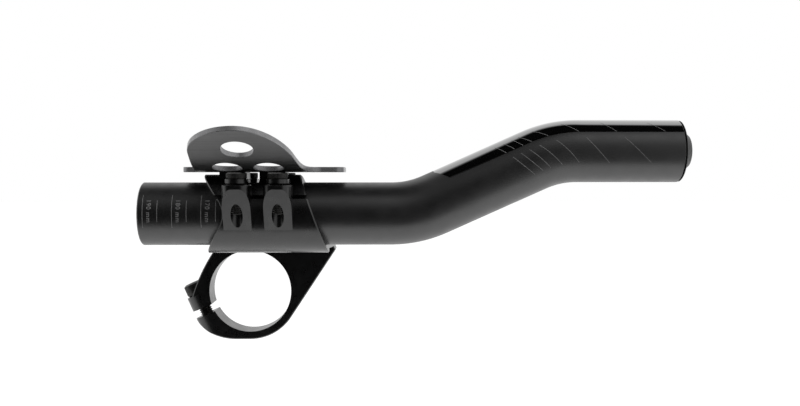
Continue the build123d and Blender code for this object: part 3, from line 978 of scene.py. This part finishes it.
class AEROBAR_OT_armrest(Operator):
    """Fold the armrest plate from its sheet, with its holes and broken edges"""

    bl_idname = "aerobar.armrest"
    bl_label = "Armrest Plate"

    def execute(self, context):
        sizes = context.scene.aerobar_armrest
        sheet = BentSheet(sizes)
        sheet.outline()
        low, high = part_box("armrest_screws")
        head = (high.y - low.y) / 2
        middle = (high.y + low.y) / 2
        for x in (low.x + head, high.x - head):
            sheet.hole(x, sheet.root - middle, head + 2 * sizes.bevel, sizes.screw_hole / 2 / head)
            sheet.hole(x, sheet.root - middle - sizes.key_hole_offset, sizes.key_hole / 2)
            sheet.bent_hole(x, middle - sizes.key_hole_offset, sizes.key_hole / 2)
        sheet.hole(sheet.low.x + sizes.top, sizes.wing_hole_reach, sizes.wing_hole / 2)
        points, sides, edges = sheet.mesh()
        colours = context.scene.aerobar_colours
        plate = add_piece(
            "armrest_plate_brushed", points, sides + edges, brushed_anodising(colours.plate)
        )
        plate.data.materials.append(cut_edge(colours.cut))
        for face in plate.data.polygons[len(sides):]:
            face.material_index = 1
        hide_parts("armrest_plate")
        return {"FINISHED"}


class AEROBAR_OT_plug(Operator):
    """Turn the tip plug with its button, flange and ribbed stem"""

    bl_idname = "aerobar.tip_plug"
    bl_label = "Tip Plug"

    def execute(self, context):
        sizes = context.scene.aerobar_plug
        bore = TUBE_RADIUS - context.scene.aerobar_tube.wall - PLUG_FIT
        stem, edge = bore - sizes.rib_height, sizes.edge
        plug = Turned()
        plug.ring(sizes.button, sizes.button_face - 2 * edge)
        plug.ring(sizes.button - edge, sizes.button_face)
        plug.ring(sizes.flange + edge, sizes.button_foot)
        plug.ring(sizes.flange, sizes.button_foot + edge)
        plug.ring(sizes.flange, sizes.flange_radius - edge)
        plug.ring(sizes.flange - edge, sizes.flange_radius)
        plug.ring(sizes.groove, sizes.flange_radius)
        plug.ring(sizes.groove, bore + edge)
        plug.ring(0, bore + edge)
        plug.ring(0, stem)
        step = sizes.stem_length / (sizes.rib_count + 1)
        for rib in range(1, sizes.rib_count + 1):
            plug.ring(sizes.rib_width - step * rib, stem)
            plug.ring(sizes.rib_width - step * rib, bore)
            plug.ring(-step * rib, stem)
        plug.ring(-sizes.stem_length, stem)
        plug.ring(-sizes.stem_length, stem - sizes.stem_wall)
        plug.ring(0, stem - sizes.stem_wall)
        tip = TUBE_HIGH.x - context.scene.aerobar_tube.tip_trim
        seat = Matrix.Translation((tip, TUBE_Y, FRONT_Z)) @ Matrix.Rotation(pi / 2, 4, "Y")
        points, faces = plug.placed(seat)
        material = moulded_plastic(context.scene.aerobar_colours.plug)
        piece = add_piece("tip_plug_moulded", points, faces, material)
        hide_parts("tip_plug")
        return {"FINISHED"}


class AEROBAR_OT_bolts(Operator):
    """Build the threaded bolts of the tube clamp and the handlebar ring, and finish the screws"""

    bl_idname = "aerobar.bolts"
    bl_label = "Bolts"

    def execute(self, context):
        steel = black_oxide(context.scene.aerobar_colours.steel)
        self.clamp_bolts(context.scene.aerobar_clamp_bolts, steel)
        self.pinch_bolt(context.scene.aerobar_pinch_bolt, steel)
        dress("armrest_screws", steel)
        return {"FINISHED"}

    def clamp_bolts(self, sizes, steel):
        """Four like bolts at the corners of their node's box."""
        low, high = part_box("clamp_bolts")
        inset = sizes.head_diameter / 2
        seat = high.z - sizes.head_height
        bolt = socket_bolt(sizes, seat - low.z)
        points, faces = [], []
        for x in (low.x + inset, high.x - inset):
            for y in (low.y + inset, high.y - inset):
                start = len(points)
                placed, quads = bolt.placed(Matrix.Translation((x, y, seat)))
                points += placed
                faces += [tuple(start + index for index in quad) for quad in quads]
        piece = add_piece("clamp_bolts_threaded", points, faces, steel)
        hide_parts("clamp_bolts")

    def pinch_bolt(self, sizes, steel):
        """The leaning bolt, on the axis of its node."""
        axis = Vector((-sin(sizes.lean), 0, cos(sizes.lean)))
        corners = [vertex.co.copy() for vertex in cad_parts["bar_clamp_bolt"].data.vertices]
        heights = [corner.dot(axis) for corner in corners]
        top = max(heights)
        rim = [corner for corner, height in zip(corners, heights) if top - height < RIM_TOLERANCE]
        middle = sum(rim, Vector()) / len(rim)
        seat = middle - axis * sizes.head_height
        bolt = socket_bolt(sizes, top - min(heights) - sizes.head_height)
        matrix = Matrix.Translation(seat) @ Matrix.Rotation(-sizes.lean, 4, "Y")
        points, faces = bolt.placed(matrix)
        piece = add_piece("bar_clamp_bolt_threaded", points, faces, steel)
        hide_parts("bar_clamp_bolt")


class AEROBAR_OT_stage(Operator):
    """Set up the floor, the soft light and the camera"""

    bl_idname = "aerobar.stage"
    bl_label = "Stage"

    def execute(self, context):
        scene = context.scene
        sizes = scene.aerobar_stage
        self.floor(sizes, scene.aerobar_colours.floor)
        self.world(scene, sizes.ambient)
        self.lamp(scene, sizes)
        self.camera(scene, sizes)
        scene.view_settings.view_transform = "Standard"
        return {"FINISHED"}

    def floor(self, sizes, base):
        """Wide pale floor that shows as white to the camera and in reflections, and still takes shadows."""
        reach, front, height = sizes.floor_reach, -sizes.floor_front, CAD_BOX[0].z - sizes.floor_drop
        sides = (-reach, front), (reach, front), (reach, reach), (-reach, reach)
        corners = [(x, y, height) for x, y in sides]
        mesh = bpy.data.meshes.new("floor")
        mesh.from_pydata(corners, [], [(0, 1, 2, 3)])
        floor = bpy.data.objects.new("floor", mesh)
        bpy.context.scene.collection.objects.link(floor)
        finish = Finish("pale_floor")
        finish.tint(base, change=0.01, size=0.3)
        finish.set(Specular_IOR_Level=0.0, Roughness=0.9, Emission_Color=(1, 1, 1, 1))
        glow = seen_directly(finish.nodes, finish.links, sizes.floor_glow)
        finish.links.new(glow, finish.shader.inputs["Emission Strength"])
        mesh.materials.append(finish.material)

    def world(self, scene, ambient):
        """White to the camera; in reflections white behind the object, pale before its tip, else dark."""
        world = bpy.data.worlds.new("studio")
        world.use_nodes = True
        scene.world = world
        nodes, links = world.node_tree.nodes, world.node_tree.links
        nodes.clear()
        place = nodes.new("ShaderNodeTexCoord")
        axes = nodes.new("ShaderNodeSeparateXYZ")
        links.new(place.outputs["Generated"], axes.inputs["Vector"])
        areas = []
        for steps in (BACKDROP, HIGH_GLOW, TIP_GLOW):
            levels = [ramp(nodes, links, axes.outputs[axis], *step) for axis, *step in steps]
            areas.append(combined(nodes, links, "MULTIPLY", *levels))
        studio = combined(nodes, links, "MAXIMUM", *areas)
        path = nodes.new("ShaderNodeLightPath").outputs
        reflected = combined(nodes, links, "MAXIMUM", path["Is Glossy Ray"], path["Is Transmission Ray"])
        level = nodes.new("ShaderNodeMix")
        level.inputs[2].default_value = ambient
        links.new(reflected, level.inputs[0])
        links.new(studio, level.inputs[3])
        shown = nodes.new("ShaderNodeMix")
        shown.inputs[3].default_value = 1.0
        links.new(path["Is Camera Ray"], shown.inputs[0])
        links.new(level.outputs[0], shown.inputs[2])
        background = nodes.new("ShaderNodeBackground")
        background.inputs["Color"].default_value = (1, 1, 1, 1)
        links.new(shown.outputs[0], background.inputs["Strength"])
        output = nodes.new("ShaderNodeOutputWorld")
        links.new(background.outputs["Background"], output.inputs["Surface"])

    def lamp(self, scene, sizes):
        """Broad soft lamp, above and before the object, that doesn't show in reflections."""
        light = bpy.data.lights.new("soft_lamp", "AREA")
        light.shape = "RECTANGLE"
        light.size, light.size_y = sizes.lamp_width, sizes.lamp_depth
        light.energy = sizes.lamp_power
        lamp = bpy.data.objects.new("soft_lamp", light)
        scene.collection.objects.link(lamp)
        target = (CAD_BOX[0] + CAD_BOX[1]) / 2
        lamp.location = target + sizes.lamp_place
        lamp.visible_glossy = False
        lamp.rotation_euler = (target - lamp.location).to_track_quat("-Z", "Y").to_euler()

    def camera(self, scene, sizes):
        """Camera level with the armrest plate, beside the outboard side of the tube."""
        data = bpy.data.cameras.new("camera")
        data.sensor_width = SENSOR_WIDTH
        data.lens = sizes.lens
        data.clip_start = NEAR_CLIP
        camera = bpy.data.objects.new("camera", data)
        scene.collection.objects.link(camera)
        camera.location = sizes.eye
        camera.rotation_euler = (pi / 2 - sizes.dip, 0, -sizes.turn)
        scene.camera = camera


# Add-on


class AEROBAR_PT_sidebar(Panel):
    """Sizes, finishes and pieces of the aero bar"""

    bl_label = "Aero Bar"
    bl_space_type = "VIEW_3D"
    bl_region_type = "UI"
    bl_category = "Aero Bar"

    def draw(self, context):
        for operator in OPERATORS:
            self.layout.operator(operator.bl_idname)
        for name, group in GROUPS.items():
            box = self.layout.box()
            box.label(text=group.__name__)
            for prop in group.__annotations__:
                box.prop(getattr(context.scene, name), prop)


OPERATORS = (
    AEROBAR_OT_tube,
    AEROBAR_OT_panel,
    AEROBAR_OT_scale,
    AEROBAR_OT_hairlines,
    AEROBAR_OT_clamp,
    AEROBAR_OT_armrest,
    AEROBAR_OT_plug,
    AEROBAR_OT_bolts,
    AEROBAR_OT_stage,
)
GROUPS = {
    "aerobar_tube": TubeSizes,
    "aerobar_marks": MarkSizes,
    "aerobar_clamp": ClampSizes,
    "aerobar_clamp_bolts": ClampBoltSizes,
    "aerobar_pinch_bolt": PinchBoltSizes,
    "aerobar_armrest": ArmrestSizes,
    "aerobar_plug": PlugSizes,
    "aerobar_colours": FinishColours,
    "aerobar_stage": StageSizes,
}


def register():
    for group in GROUPS.values():
        bpy.utils.register_class(group)
    for operator in OPERATORS:
        bpy.utils.register_class(operator)
    bpy.utils.register_class(AEROBAR_PT_sidebar)
    for name, group in GROUPS.items():
        setattr(bpy.types.Scene, name, PointerProperty(type=group))


def unregister():
    for name in GROUPS:
        delattr(bpy.types.Scene, name)
    bpy.utils.unregister_class(AEROBAR_PT_sidebar)
    for operator in reversed(OPERATORS):
        bpy.utils.unregister_class(operator)
    for group in reversed(list(GROUPS.values())):
        bpy.utils.unregister_class(group)


def main():
    register()
    bpy.ops.aerobar.tube()
    bpy.ops.aerobar.gloss_panel()
    bpy.ops.aerobar.scale()
    bpy.ops.aerobar.hairlines()
    bpy.ops.aerobar.clamp()
    bpy.ops.aerobar.armrest()
    bpy.ops.aerobar.tip_plug()
    bpy.ops.aerobar.bolts()
    bpy.ops.aerobar.stage()


if __name__ == "__main__":
    main()
